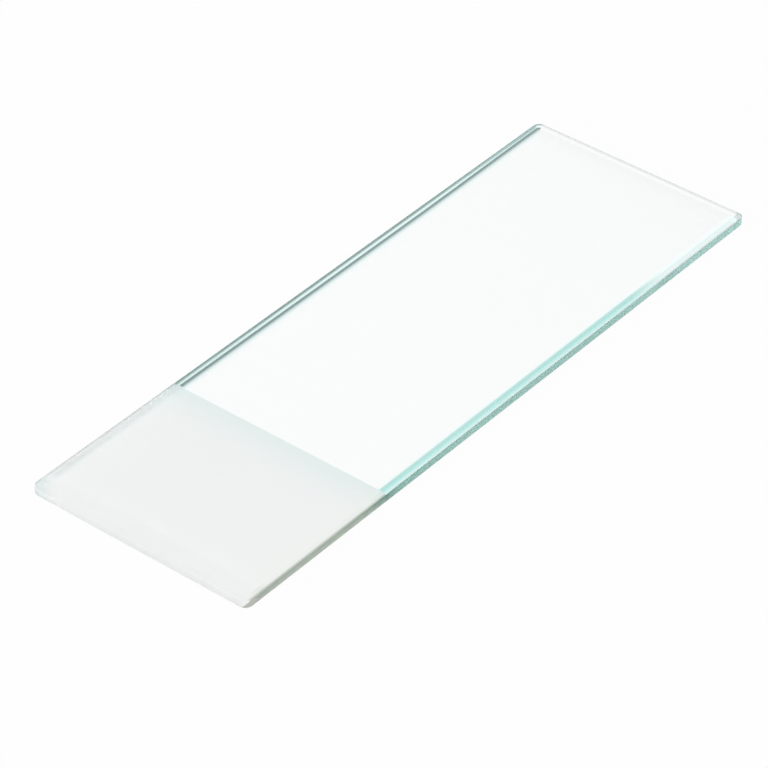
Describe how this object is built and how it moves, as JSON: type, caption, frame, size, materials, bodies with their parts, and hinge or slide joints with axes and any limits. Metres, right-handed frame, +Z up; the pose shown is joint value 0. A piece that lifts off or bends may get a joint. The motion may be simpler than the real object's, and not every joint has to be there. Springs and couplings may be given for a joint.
{
  "type": "microscope slide",
  "caption": "Thin rectangular plate of clear glass with ground edges and a frosted writing end, for holding a specimen under a microscope.",
  "frame": {"origin": "middle of the underside", "axes": "+X along the length and away from the frosted end, +Y across the width, +Z up out of the etched face"},
  "size_m": [0.076, 0.026, 0.0012],
  "materials": {
    "clear_glass": "polished faces, fine-ground edges, one etched matt end"
  },
  "bodies": {
    "root": {"glass_slide": "clear_glass"}
  },
  "joints": []
}
